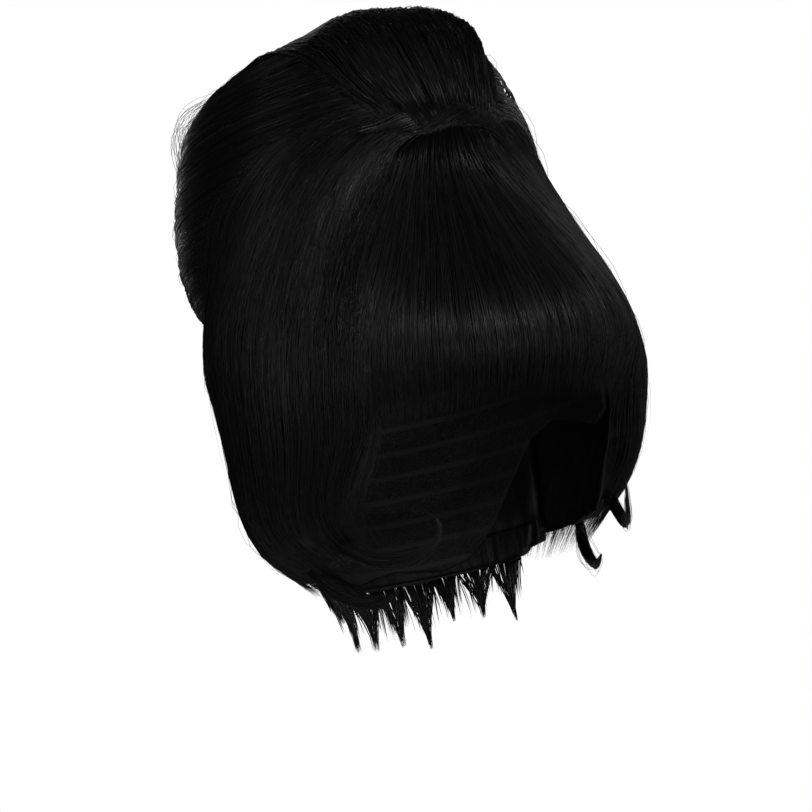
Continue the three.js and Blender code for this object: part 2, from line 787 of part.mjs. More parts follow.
const dome = makeDome().subtract(rollSpace).subtract(gatherSpace).subtract(headSpace)
  .subtract(makeLowerSpace(tierGap));
for (const [word, side] of [["right", -1], ["left", 1]]) {
  const curl = (grow) => makeLock(curlRows, side, curlWidth, curlThickness, grow);
  const flick = (grow) => makeLock(flickRows, side, flickWidth, flickThickness, grow);
  const lock = trimmedLower(makeSide(side)).subtract(curl(seam)).subtract(flick(seam));
  addMesh(`sweep_${word}`, dome.intersect(halfSpace(side)), hairColor, hairRoughness);
  addMesh(`side_lock_${word}`, lock, hairColor, hairRoughness);
  addMesh(`cheek_curl_${word}`, curl(0), hairColor, hairRoughness);
  addMesh(`jaw_flick_${word}`, flick(0), hairColor, hairRoughness);
}

export default group;
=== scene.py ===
"""Black beehive wig with a full fringe, cheek curls and a nape fringe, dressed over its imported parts."""

import math

import bmesh
import bpy
import numpy as np
from bpy.props import FloatProperty, FloatVectorProperty, IntProperty, PointerProperty
from mathutils import Matrix, Vector
from mathutils.bvhtree import BVHTree


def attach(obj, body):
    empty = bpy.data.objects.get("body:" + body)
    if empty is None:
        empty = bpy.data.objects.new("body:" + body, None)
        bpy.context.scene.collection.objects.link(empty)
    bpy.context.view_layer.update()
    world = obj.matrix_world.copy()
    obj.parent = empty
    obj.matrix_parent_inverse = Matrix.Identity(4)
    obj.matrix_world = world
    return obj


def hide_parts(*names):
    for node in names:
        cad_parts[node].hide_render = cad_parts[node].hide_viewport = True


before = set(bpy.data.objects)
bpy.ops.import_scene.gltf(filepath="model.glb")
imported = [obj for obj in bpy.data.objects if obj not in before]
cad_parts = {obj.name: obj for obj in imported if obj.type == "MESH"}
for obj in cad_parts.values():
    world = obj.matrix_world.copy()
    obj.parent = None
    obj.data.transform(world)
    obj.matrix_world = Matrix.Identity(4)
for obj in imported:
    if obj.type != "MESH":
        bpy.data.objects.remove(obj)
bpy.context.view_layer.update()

bl_info = {
    "name": "Beehive wig",
    "version": (1, 0, 0),
    "blender": (4, 5, 0),
    "location": "View3D > Sidebar > Wig",
    "description": "Dresses the packed wig parts with combed hair, curls and a stretch cap",
    "category": "Object",
}

MM = 0.001
LEFT, RIGHT = 1, -1
SIDE_NAMES = ((RIGHT, "right"), (LEFT, "left"))
TURN = 2 * math.pi

# Lengths and angles that the locks follow, as in the part's source
WAIST_FRONT, WAIST_BACK = 38 * MM, -28 * MM
JAW_DROP = 162 * MM
BODY_HEIGHT = 200 * MM
BACK_ANGLE = math.radians(118)
HEAD_WIDTH, HEAD_DEPTH = 146 * MM, 182 * MM
UPPER_CENTRE = np.array((0.0, 30.0, 30.0)) * MM
# Height above the jaw as a share of the body's, and the cheek line's angle in degrees
CHEEK_LINE = (
    (-0.06, 76), (0.0, 74), (0.11, 69), (0.18, 66), (0.225, 60), (0.275, 54),
    (0.335, 49), (0.55, 43), (0.8, 30), (1.0, 14), (1.1, 8),
)
# Sideways, forwards and down as shares of the head, then width and thickness as shares
CURL_ROWS = (
    (-1.04, 0.06, 0.83, 1.0, 1.0), (-1.0, 0.2, 0.885, 0.95, 1.0), (-0.93, 0.34, 0.945, 0.76, 0.85),
    (-0.83, 0.48, 0.965, 0.52, 0.65), (-0.74, 0.62, 0.955, 0.3, 0.45), (-0.69, 0.7, 0.92, 0.16, 0.3),
    (-0.7, 0.71, 0.88, 0.09, 0.18), (-0.74, 0.66, 0.845, 0.04, 0.08),
)
FLICK_ROWS = (
    (-1.02, -0.18, 0.91, 1.0, 1.0), (-0.94, -0.08, 0.985, 0.88, 1.0), (-0.87, 0.04, 1.035, 0.64, 0.8),
    (-0.81, 0.16, 1.055, 0.36, 0.5), (-0.76, 0.28, 1.035, 0.1, 0.2),
)
CURL_WIDTH, CURL_THICKNESS = 9 * MM, 4.5 * MM
FLICK_WIDTH, FLICK_THICKNESS = 12 * MM, 5 * MM
# How much of its map a metre of strand takes up, for the grain of its gloss
GRAIN_STRETCH = 10
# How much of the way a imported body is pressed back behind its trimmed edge
PRESS = 0.9
# Lengths that turn places across the hair and angles into metres of comb lines
FRINGE_HALF, SIDE_WIDTH, SWEEP_HEIGHT = 75 * MM, 110 * MM, 120 * MM
AROUND_RADIUS, ROLL_RADIUS = 95 * MM, 80 * MM
BROW_LEVEL, FRINGE_BOTTOM, CHEEK_LEVEL = -90 * MM, -99 * MM, -80 * MM
# Azimuth, elevation and roll of the camera, in degrees, and its distance in metres
CAMERA_TURN, CAMERA_RISE, CAMERA_ROLL, CAMERA_DISTANCE = -30, -8, -12.5, 1.2
# Azimuth, elevation, distance, size, whose power it takes and the share of that power
LIGHTS = {
    "key": (-4, 17, 2.0, 0.7, "key_power", 1.0),
    "side_fill": (-85, 18, 2.2, 1.0, "fill_power", 1.0),
    "far_fill": (60, 25, 2.2, 1.0, "fill_power", 0.7),
    "low_fill": (-10, -11, 2.0, 0.6, "fill_power", 1.6),
    "back_rim": (160, 50, 2.0, 0.8, "fill_power", 0.45),
    "back_fill": (180, 12, 2.2, 0.8, "fill_power", 0.35),
    "left_fill": (100, 12, 2.2, 0.8, "fill_power", 0.9),
}


# Sizes and colours a user may change

class HairSizes(bpy.types.PropertyGroup):
    strand_width: FloatProperty(
        name="Strand width", description="Thickness of one drawn strand",
        default=0.42 * MM, unit="LENGTH", precision=5)
    flyaway_width: FloatProperty(
        name="Flyaway width", description="Thickness of a loose strand",
        default=0.2 * MM, unit="LENGTH", precision=5)
    relief: FloatProperty(
        name="Comb relief", description="How far the combed ridges stand above their furrows",
        default=0.8 * MM, unit="LENGTH", precision=5)
    flyaway_reach: FloatProperty(
        name="Flyaway reach", description="How far a loose strand lifts off the hair",
        default=4.5 * MM, unit="LENGTH", precision=5)
    fullness: FloatProperty(
        name="Fullness", description="Share of the full count of strands",
        default=1.0, min=0.05, max=1.0, subtype="FACTOR")
    seed: IntProperty(name="Seed", description="Seed of every random draw", default=7, min=0)


class HairColours(bpy.types.PropertyGroup):
    dark: FloatVectorProperty(
        name="Dark strands", description="Colour of the darkest strands",
        default=(0.0017, 0.0016, 0.0018), size=3, subtype="COLOR")
    light: FloatVectorProperty(
        name="Light strands", description="Colour of the lightest strands",
        default=(0.009, 0.0086, 0.0086), size=3, subtype="COLOR")
    gloss: FloatProperty(
        name="Roughness", description="Roughness of the strands", default=0.3,
        min=0.0, max=1.0, subtype="FACTOR")


class CapFinish(bpy.types.PropertyGroup):
    net: FloatVectorProperty(
        name="Net", description="Colour of the stretch net", default=(0.0042, 0.004, 0.004),
        size=3, subtype="COLOR")
    mesh_size: FloatProperty(
        name="Mesh size", description="Distance between the threads of the net",
        default=1.1 * MM, unit="LENGTH", precision=5)
    weft_gap: FloatProperty(
        name="Weft gap", description="Distance between two sewn rows of hair",
        default=12 * MM, unit="LENGTH", precision=4)


class StageSizes(bpy.types.PropertyGroup):
    floor_drop: FloatProperty(
        name="Floor drop", description="Height of the floor below the crown of the head",
        default=0.75, unit="LENGTH")
    floor_radius: FloatProperty(
        name="Floor radius", description="Radius of the round floor", default=1.9, unit="LENGTH")
    key_power: FloatProperty(
        name="Key light", description="Power of the large soft light", default=21.0, unit="POWER")
    fill_power: FloatProperty(
        name="Fill light", description="Power of the side light", default=6.0, unit="POWER")
    lens: FloatProperty(
        name="Lens", description="Focal length on a 36 mm sensor", default=112.5, unit="CAMERA")


# Grids of how far the hair reaches

def merged_copy(names):
    """One bmesh of copies of these CAD nodes, with their loose triangles joined."""
    copy = bmesh.new()
    for name in names:
        copy.from_mesh(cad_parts[name].data)
    bmesh.ops.remove_doubles(copy, verts=copy.verts, dist=0.01 * MM)
    return copy


def near_values(grid, wraps):
    """The eight neighbours of each value of a grid; the first axis may close on itself."""
    edge = "wrap" if wraps else "edge"
    padded = np.pad(np.pad(grid, ((1, 1), (0, 0)), mode=edge), ((0, 0), (1, 1)), mode="edge")
    wide, high = grid.shape
    return [
        padded[1 + step:1 + step + wide, 1 + rise:1 + rise + high]
        for step in (-1, 0, 1) for rise in (-1, 0, 1) if step or rise
    ]


def filled(grid, wraps):
    """The grid with its gaps filled outwards from their edges."""
    grid = grid.copy()
    while np.isnan(grid).any():
        near = np.array(near_values(grid, wraps))
        known = ~np.isnan(near)
        count = known.sum(axis=0)
        total = np.where(known, near, 0).sum(axis=0)
        open_cells = np.isnan(grid) & (count > 0)
        if not open_cells.any():
            raise RuntimeError("a grid of the hair has no value at all")
        grid[open_cells] = total[open_cells] / count[open_cells]
    return grid


def softened(grid, wraps, rounds):
    """The grid with each value drawn towards its neighbours."""
    for _ in range(rounds):
        grid = grid * 0.4 + sum(near_values(grid, wraps)) * 0.075
    return grid


def bridged(grid, wraps, rounds):
    """The grid with its narrow grooves closed over."""
    for pick in (np.maximum, np.minimum):
        for _ in range(rounds):
            grid = pick.reduce([grid, *near_values(grid, wraps)])
    return grid


def eased(line, rounds, mode="edge"):
    """A line of values, or each row of a grid, with its corners rounded."""
    for _ in range(rounds):
        ends = np.pad(line, [(0, 0)] * (line.ndim - 1) + [(1, 1)], mode=mode)
        line = ends[..., :-2] * 0.25 + line * 0.5 + ends[..., 2:] * 0.25
    return line


class Reach:
    """How far some nodes reach from a line or a point, on a grid of two directions."""

    def __init__(self, names, firsts, seconds, ray, wraps=True, rounds=3, bridge=2, even=0, ease=4):
        self.firsts, self.seconds, self.wraps = firsts, seconds, wraps
        self.period = TURN if wraps else None
        copy = merged_copy(names)
        tree = BVHTree.FromBMesh(copy)
        copy.free()
        far = 0.4
        grid = np.full((len(firsts), len(seconds)), np.nan)
        for row, first in enumerate(firsts):
            for column, second in enumerate(seconds):
                start, out = (Vector(v) for v in ray(first, second))
                distance = tree.ray_cast(start + out * far, -out, far)[3]
                if distance is not None:
                    grid[row, column] = far - distance
        self.low, self.high = (self.limit(~np.isnan(grid), end, ease) for end in (0, -1))
        outer = bridged(filled(grid, wraps), wraps, bridge)
        outer = softened(np.maximum(outer, softened(outer, wraps, rounds)), wraps, 1)
        self.grid = eased(outer, even)

    def limit(self, known, end, ease):
        """The first or the last second direction that was hit, for each first one."""
        hits = [np.flatnonzero(row) for row in known]
        line = np.array([self.seconds[hit[end]] if len(hit) else np.nan for hit in hits])
        good, spots = ~np.isnan(line), np.arange(len(line))
        period = len(line) if self.wraps else None
        line = np.interp(spots, spots[good], line[good], period=period)
        return eased(line, ease, "wrap" if self.wraps else "edge")

    def low_at(self, first):
        """The lower limit at an array of the first direction."""
        return np.interp(first, self.firsts, self.low, period=self.period)

    def high_at(self, first):
        """The upper limit at an array of the first direction."""
        return np.interp(first, self.firsts, self.high, period=self.period)

    def at(self, first, second):
        """The smoothed reach at arrays of the two directions."""
        step = (first - self.firsts[0]) / (self.firsts[1] - self.firsts[0])
        rise = (second - self.seconds[0]) / (self.seconds[1] - self.seconds[0])
        count, high = self.grid.shape
        step = np.mod(step, count) if self.wraps else np.clip(step, 0, count - 1.001)
        rise = np.clip(rise, 0, high - 1.001)
        low_step, low_rise = step.astype(int), rise.astype(int)
        next_step = (low_step + 1) % count
        part, up = step - low_step, rise - low_rise
        below, above = (
            self.grid[low_step, level] * (1 - part) + self.grid[next_step, level] * part
            for level in (low_rise, low_rise + 1))
        return below * (1 - up) + above * up


def level_ray(angle, height):
    """Out of the upright axis, at an angle from the face and a height."""
    return (0, 0, height), (math.sin(angle), -math.cos(angle), 0)


def round_ray(angle, rise):
    """Out of the upper tier's centre, at an angle from the face and one above the level."""
    flat = math.cos(rise)
    return tuple(UPPER_CENTRE), (flat * math.sin(angle), -flat * math.cos(angle), math.sin(rise))


def arch_ray(bend, across):
    """Out of the line through the upper tier's centre, at a bend from the front over the top."""
    start = (across, UPPER_CENTRE[1], UPPER_CENTRE[2])
    return start, (0, -math.cos(bend), math.sin(bend))


AROUND = np.radians(np.arange(0, 360, 2.0))
DRAPE = ("fringe", "side_lock_right", "side_lock_left", "back_drape")
SWEEPS = ("sweep_right", "sweep_left", "front_gather")
LOWER = Reach(DRAPE, AROUND, np.arange(-170, 44, 2.0) * MM, level_ray)
NAPE = Reach(
    ("nape_fringe",), AROUND, np.arange(-190, -136, 1.5) * MM, level_ray, rounds=2, bridge=1, ease=1)
UPPER = Reach(
    SWEEPS[:2], AROUND, np.radians(np.arange(-60, 80, 2.0)), round_ray, bridge=4, even=5)
WHOLE = Reach(
    DRAPE + SWEEPS, AROUND, np.arange(-170, 86, 2.0) * MM, level_ray, rounds=4, bridge=3, even=18)
OVER = Reach(
    ("top_roll", *SWEEPS), np.radians(np.arange(-4, 204, 2.0)), np.arange(-60, 61, 1.5) * MM,
    arch_ray, wraps=False, rounds=6, bridge=6)


# Lines that the hair is combed along

def smooth_share(value):
    """A share from 0 to 1 that starts and ends slowly."""
    value = np.clip(value, 0, 1)
    return value * value * (3 - 2 * value)


def softened_table(heights, values):
    """A table read at close heights, with its corners rounded."""
    close = np.linspace(heights[0], heights[-1], 241)
    return close, eased(np.interp(close, heights, values), 60)


CHEEK_HEIGHTS, CHEEK_ANGLES = softened_table(
    [up * BODY_HEIGHT - JAW_DROP for up, _ in CHEEK_LINE],
    [math.radians(angle) for _, angle in CHEEK_LINE])
WAIST_ANGLES = np.radians(np.arange(180, -1, -1.0))
WAIST_HEIGHTS = WAIST_BACK + (WAIST_FRONT - WAIST_BACK) * smooth_share(
    (1 + np.cos(WAIST_ANGLES)) / 2)


def cheek_angle(height):
    return np.interp(height, CHEEK_HEIGHTS, CHEEK_ANGLES)


def waist_angle(height):
    """The angle from the face at which the waist passes this height."""
    return np.interp(height, WAIST_HEIGHTS, WAIST_ANGLES)


def off_front(angle):
    """How far an angle lies from the face, on either side."""
    return np.abs(np.mod(angle + math.pi, TURN) - math.pi)


def waist_height(angle):
    return np.interp(-off_front(angle), -WAIST_ANGLES, WAIST_HEIGHTS)


def ripple(seed, across, along, coarse, fine, count=7):
    """A smooth wave across the hair, from -1 to 1, that drifts slowly along it."""
    draw = np.random.default_rng(seed)
    total = np.zeros(np.broadcast(across, along).shape)
    weight = 0
    for size in np.geomspace(coarse, fine, count):
        share = (size / coarse) ** 0.45
        drift = draw.uniform(-0.5, 0.5) * TURN / (coarse * 6)
        total += share * np.sin(across * TURN / size + along * drift + draw.uniform(0, TURN))
        weight += share * share
    return np.clip(total / math.sqrt(weight * 2), -1, 1)


def turn_under(angle, height, depth=5 * MM, start=-42 * MM, run=62 * MM, edge=1.04, fade=0.4):
    """How far the fringe is combed inwards here, so that it rounds off slowly."""
    middle = smooth_share((edge - off_front(angle) / cheek_angle(height)) / fade)
    return depth * middle * smooth_share((start - height) / run) ** 1.4


def level_points(reach, angle, height, lift):
    """Points off the upright axis at these angles and heights, and the way out there."""
    angle = np.mod(angle, TURN)
    out = np.stack((np.sin(angle), -np.cos(angle), np.zeros_like(angle)), axis=-1)
    points = out * (reach.at(angle, height) + lift)[..., None]
    points[..., 2] = height
    return points, out


def upper_points(angle, rise, lift):
    """Points on the upper tier's sides at these angles and rises, and the way out there."""
    angle, flat = np.mod(angle, TURN), np.cos(rise)
    out = np.stack((flat * np.sin(angle), -flat * np.cos(angle), np.sin(rise)), axis=-1)
    return UPPER_CENTRE + out * (UPPER.at(angle, rise) + lift)[..., None], out


def roll_points(bend, across, lift):
    """Points on the roll at these bends over the top and places across it."""
    out = np.stack((np.zeros_like(bend), -np.cos(bend), np.sin(bend)), axis=-1)
    points = UPPER_CENTRE + out * (OVER.at(bend, across) + lift)[..., None]
    points[..., 0] = across
    return points, out


# Materials

def add_node(tree, kind, **values):
    """A new node to the left of the others, whose settings or inputs take these values."""
    node = tree.nodes.new(kind)
    node.location.x = -200 * len(tree.nodes)
    for key, value in values.items():
        if hasattr(node, key):
            setattr(node, key, value)
        else:
            node.inputs[key.replace("_", " ")].default_value = value
    return node


def wire(tree, *links):
    """Links, each given as a node with its output and a node with its input."""
    for source, output, target, socket in links:
        tree.links.new(source.outputs[output], target.inputs[socket])


def new_material(name):
    material = bpy.data.materials.new(name)
    material.use_nodes = True
    return material, material.node_tree, material.node_tree.nodes["Principled BSDF"]


def ramp(tree, *stops):
    """A colour ramp with a colour at each stop."""
    node = add_node(tree, "ShaderNodeValToRGB")
    elements = node.color_ramp.elements
    while len(elements) < len(stops):
        elements.new(0.5)
    for element, (position, colour) in zip(elements, stops):
        element.position = position
        element.color = (*colour, 1)
    return node


def grey(value):
    return (value, value, value)


def finish_shader(tree, shader, tone, matt, bump, specular):
    """The shader with its colour, roughness and bump linked and its specular level set."""
    wire(tree, (tone, "Color", shader, "Base Color"), (matt, "Color", shader, "Roughness"),
         (bump, "Normal", shader, "Normal"))
    shader.inputs["Specular IOR Level"].default_value = specular


def strand_material(colours):
    """Each strand has its own tone, with a slight unevenness along its length."""
    material, tree, shader = new_material("black_strands")
    layer = add_node(tree, "ShaderNodeUVMap", uv_map="strand")
    parts = add_node(tree, "ShaderNodeSeparateXYZ")
    between = [0.6 * dark + 0.4 * light for dark, light in zip(colours.dark, colours.light)]
    tone = ramp(tree, (0.0, colours.dark), (0.7, between), (1.0, colours.light))
    grain = add_node(tree, "ShaderNodeTexNoise", Scale=40.0, Detail=2.0)
    matt = ramp(
        tree, (0.0, grey(colours.gloss + 0.16)), (0.35, grey(colours.gloss + 0.08)),
        (0.62, grey(colours.gloss - 0.1)), (1.0, grey(colours.gloss - 0.14)))
    uneven = add_node(tree, "ShaderNodeMix", data_type="FLOAT", blend_type="MIX", Factor=0.3)
    bump = add_node(tree, "ShaderNodeBump", Strength=0.25, Distance=0.05 * MM)
    wire(
        tree, (layer, "UV", parts, 0), (parts, "X", tone, 0), (layer, "UV", grain, "Vector"),
        (parts, "X", uneven, "A"), (grain, "Fac", uneven, "B"), (uneven, "Result", matt, 0),
        (grain, "Fac", bump, "Height"))
    finish_shader(tree, shader, tone, matt, bump, specular=0.2)
    return material


def mass_material(colours):
    """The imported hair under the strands: fine streaks along the comb direction."""
    material, tree, shader = new_material("packed_black_hair")
    layer = add_node(tree, "ShaderNodeUVMap", uv_map="comb")
    stretch = add_node(tree, "ShaderNodeMapping", Scale=(2600, 45, 1))
    streaks = add_node(tree, "ShaderNodeTexNoise", Scale=1.0, Detail=6.0, Roughness=0.65)
    tone = ramp(tree, (0.35, colours.dark), (0.8, colours.light))
    matt = ramp(tree, (0.3, grey(colours.gloss)), (0.7, grey(colours.gloss + 0.2)))
    bump = add_node(tree, "ShaderNodeBump", Strength=0.9, Distance=0.35 * MM)
    wire(
        tree, (layer, "UV", stretch, "Vector"), (stretch, "Vector", streaks, "Vector"),
        (streaks, "Fac", tone, 0), (streaks, "Fac", matt, 0), (streaks, "Fac", bump, "Height"))
    finish_shader(tree, shader, tone, matt, bump, specular=0.12)
    return material


def net_material(finish):
    """Open stretch net crossed by level rows of sewn weft."""
    material, tree, shader = new_material("black_stretch_net")
    where = add_node(tree, "ShaderNodeTexCoord")
    weft = add_node(
        tree, "ShaderNodeTexWave", bands_direction="Z", Scale=TURN / 20 / finish.weft_gap,
        Distortion=0.3, Detail=1.0)
    cells = add_node(
        tree, "ShaderNodeTexVoronoi", feature="DISTANCE_TO_EDGE", Scale=1 / finish.mesh_size)
    rows = ramp(tree, (0.8, grey(0)), (0.95, grey(1)))
    threads = ramp(tree, (0.06, grey(1)), (0.2, grey(0)))
    either = add_node(
        tree, "ShaderNodeMix", data_type="RGBA", blend_type="LIGHTEN", Factor=1.0)
    tone = ramp(tree, (0.0, [v * 0.35 for v in finish.net]), (1.0, [v * 2.2 for v in finish.net]))
    matt = ramp(tree, (0.0, grey(0.95)), (1.0, grey(0.7)))
    bump = add_node(tree, "ShaderNodeBump", Strength=0.8, Distance=0.4 * MM)
    wire(
        tree, (where, "Object", weft, "Vector"), (where, "Object", cells, "Vector"),
        (weft, "Fac", rows, 0), (cells, "Distance", threads, 0), (rows, "Color", either, "A"),
        (threads, "Color", either, "B"), (either, "Result", tone, 0), (either, "Result", matt, 0),
        (either, "Result", bump, "Height"))
    finish_shader(tree, shader, tone, matt, bump, specular=0.2)
    return material


def floor_material():
    """Pale grey with a slight mottle."""
    material, tree, shader = new_material("pale_floor")
    grain = add_node(tree, "ShaderNodeTexNoise", Scale=6.0, Detail=3.0)
    tone = ramp(tree, (0.3, grey(0.833)), (0.7, grey(0.85)))
    wire(tree, (grain, "Fac", tone, 0), (tone, "Color", shader, "Base Color"))
    shader.inputs["Roughness"].default_value = 0.8
    return material


MADE = {}


def material_once(key, make, *values):
    """A material that is made on the first call and shared after that."""
    if key not in MADE:
        MADE[key] = make(*values)
    return MADE[key]


# Strands and packed hair

def add_object(name, data):
    """A new object in the scene."""
    made = bpy.data.objects.new(name, data)
    bpy.context.scene.collection.objects.link(made)
    return made


def vertex_values(mesh, key):
    """The places or the normals of a mesh's vertices, one row each."""
    values = np.empty(len(mesh.vertices) * 3)
    mesh.vertices.foreach_get(key, values)
    return values.reshape(-1, 3)


def unit(vectors):
    """The vectors at a length of one."""
    return vectors / np.maximum(np.linalg.norm(vectors, axis=-1, keepdims=True), 1e-9)


def tube_mesh(name, points, outs, radii, tones, sides=3):
    """A mesh of closed tapering tubes, one along each row of points."""
    count, steps, _ = points.shape
    along = unit(np.gradient(points, axis=1))
    broad = unit(np.cross(outs, along))
    up = np.cross(along, broad)
    turn = np.arange(sides) * TURN / sides + TURN / 4
    rings = points[:, :, None] + radii[:, :, None, None] * (
        np.cos(turn)[:, None] * broad[:, :, None] + np.sin(turn)[:, None] * up[:, :, None])
    spot = np.arange(count * steps * sides).reshape(count, steps, sides)
    ahead = np.roll(spot, -1, axis=2)
    walls = np.stack((spot[:, :-1], ahead[:, :-1], ahead[:, 1:], spot[:, 1:]), axis=-1)
    corners = np.concatenate((
        walls.reshape(-1), spot[:, 0, ::-1].reshape(-1), spot[:, -1].reshape(-1)))
    wall_count = count * (steps - 1) * sides
    starts = np.concatenate((
        np.arange(wall_count) * 4, wall_count * 4 + np.arange(count * 2) * sides))
    mesh = bpy.data.meshes.new(name)
    mesh.vertices.add(rings.size // 3)
    mesh.vertices.foreach_set("co", rings.astype(np.float32).reshape(-1))
    mesh.loops.add(len(corners))
    mesh.loops.foreach_set("vertex_index", corners.astype(np.int32))
    mesh.polygons.add(len(starts))
    mesh.polygons.foreach_set("loop_start", starts.astype(np.int32))
    mesh.polygons.foreach_set("use_smooth", np.ones(len(starts), bool))
    mesh.update(calc_edges=True)
    reach = np.concatenate((
        np.zeros((count, 1)), np.cumsum(np.linalg.norm(np.diff(points, axis=1), axis=-1), axis=1)),
        axis=1)
    layer = np.empty((count, steps, sides, 2))
    layer[..., 0] = tones[:, :, None]
    layer[..., 1] = reach[:, :, None] * GRAIN_STRETCH
    mesh.uv_layers.new(name="strand").data.foreach_set(
        "uv", layer.reshape(-1, 2)[corners].astype(np.float32).reshape(-1))
    return mesh


def add_piece(name, mesh, material):
    """A visible piece of hair that rides on the wig's only body."""
    piece = add_object(name, mesh)
    mesh.materials.clear()
    mesh.materials.append(material)
    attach(piece, "root")
    return piece


def taper(share, root=0.45, tip=0.08, swell=0.12):
    """The width of a strand along its length, as a share of its full width."""
    return np.minimum(1, root + share / swell) * (tip + (1 - tip) * (1 - share ** 5))


def add_strands(context, name, laid, draw, loose=False, stout=1.0):
    """Strands along laid rows of points; loose says which of them are fine flyaways."""
    sizes, colours = context.scene.wig_hair, context.scene.wig_colours
    points, outs = laid
    count, steps, _ = points.shape
    width = sizes.strand_width * stout * draw.uniform(0.7, 1.25, (count, 1))
    tones = draw.random((count, 1)) ** 2.2
    width, tones = np.where(loose, sizes.flyaway_width, width), np.where(loose, 1.0, tones)
    mesh = tube_mesh(name, points, outs, width / 2 * taper(np.linspace(0, 1, steps)), tones)
    return add_piece(name, mesh, material_once("strands", strand_material, colours))


def raised(spots, edge, margin):
    """Points with those that hang below a line pressed up against it."""
    under = np.minimum(spots[:, 2] - (edge(signed_angle(spots)) + margin), 0)
    spots[:, 2] -= under * PRESS


def set_back(spots, margin, fade=15 * MM, least=0.4):
    """Points with those that stand in front of the cheek line pressed back against it."""
    angle = signed_angle(spots)
    margin *= least + smooth_share((CHEEK_LEVEL - spots[:, 2]) / fade)
    ahead = np.minimum(np.abs(angle) - cheek_angle(spots[:, 2]) - margin, 0)
    turned = angle - np.sign(angle) * ahead * PRESS
    flat = np.hypot(spots[:, 0], spots[:, 1])
    spots[:, 0], spots[:, 1] = flat * np.sin(turned), -flat * np.cos(turned)


def nape_level(angle):
    return np.full_like(angle, NAPE.low.mean())


def trim_fringe(spots):
    flat = np.hypot(spots[:, 0], spots[:, 1])
    spots[:, :2] *= (1 - turn_under(signed_angle(spots), spots[:, 2]) / flat)[:, None]
    raised(spots, LOWER.low_at, 16 * MM)


def trim_side(spots):
    set_back(spots, margin=0.11)
    raised(spots, LOWER.low_at, 11 * MM)


def trim_back(spots):
    raised(spots, LOWER.low_at, 6 * MM)


def trim_nape(spots):
    raised(spots, nape_level, 1 * MM)


def combed_relief(sizes, across, along, seed=0, coarse=11 * MM, fine=3.5 * MM, part=0.5):
    """The height of the combed ridges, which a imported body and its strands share."""
    return ripple(sizes.seed + seed, across, along, coarse, fine, 5) * sizes.relief * part


def finish_body(mesh, across, along):
    """Smooth shading, and a map of the places across and along the comb lines, in metres."""
    corners = np.empty(len(mesh.loops), np.int32)
    mesh.loops.foreach_get("vertex_index", corners)
    layer = np.stack((across, along), axis=-1)[corners]
    mesh.uv_layers.new(name="comb").data.foreach_set("uv", layer.astype(np.float32).reshape(-1))
    mesh.polygons.foreach_set("use_smooth", np.ones(len(mesh.polygons), bool))
    mesh.update()


def packed_hair(context, name, node, voxel, comb, sink=0.7 * MM, rounds=8, trim=None):
    """The hair's body under its strands: a rounded copy of the CAD solid with combed ridges."""
    sizes, colours = context.scene.wig_hair, context.scene.wig_colours
    copy = merged_copy((node,))
    rough = bpy.data.meshes.new(name)
    copy.to_mesh(rough)
    copy.free()
    holder = add_object(name + "_rough", rough)
    remesh = holder.modifiers.new("even", "REMESH")
    remesh.mode, remesh.voxel_size = "VOXEL", voxel
    soften = holder.modifiers.new("round", "SMOOTH")
    soften.factor, soften.iterations = 0.5, rounds
    seen = holder.evaluated_get(context.evaluated_depsgraph_get())
    mesh = bpy.data.meshes.new_from_object(seen)
    bpy.data.objects.remove(holder)
    bpy.data.meshes.remove(rough)
    mesh.name = name
    spots, ways = vertex_values(mesh, "co"), vertex_values(mesh, "normal")
    if trim:
        trim(spots)
    across, along = comb(spots)
    spots += ways * (combed_relief(sizes, across, along) - sink)[:, None]
    mesh.vertices.foreach_set("co", spots.reshape(-1))
    finish_body(mesh, across, along)
    piece = add_piece(name, mesh, material_once("mass", mass_material, colours))
    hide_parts(node)
    return piece


def signed_angle(spots):
    """The angle of each point from the face, towards the wearer's left."""
    return np.arctan2(spots[:, 0], -spots[:, 1])


def comb_down(spots):
    """Across and along the lower tier, in metres."""
    angle = signed_angle(spots)
    height = spots[:, 2]
    fan = np.maximum(cheek_angle(height), 0.1)
    return angle / fan * FRINGE_HALF, height


def comb_back(spots):
    return signed_angle(spots) * AROUND_RADIUS, spots[:, 2]


def comb_round(spots):
    """Across and along the upper tier's sides, in metres."""
    out = spots - UPPER_CENTRE
    angle = np.abs(np.arctan2(out[:, 0], -out[:, 1]))
    rise = np.arctan2(out[:, 2], np.hypot(out[:, 0], out[:, 1]))
    low = UPPER.low_at(angle)
    high = UPPER.high_at(angle)
    share = (rise - low) / np.maximum(high - low, 0.12)
    return share * SWEEP_HEIGHT, angle * AROUND_RADIUS


def comb_over(spots):
    """Across and along the roll, in metres."""
    out = spots - UPPER_CENTRE
    return spots[:, 0], np.arctan2(out[:, 2], -out[:, 1]) * ROLL_RADIUS


def strand_count(context, triangles, steps, sides=3):
    """How many strands of these steps fit in a budget of triangles."""
    each = (steps - 1) * sides * 2 + 2
    return int(triangles * context.scene.wig_hair.fullness / each)


def between(first, last, share):
    """Values that run from the first to the last one along each strand."""
    return first + (last - first) * share


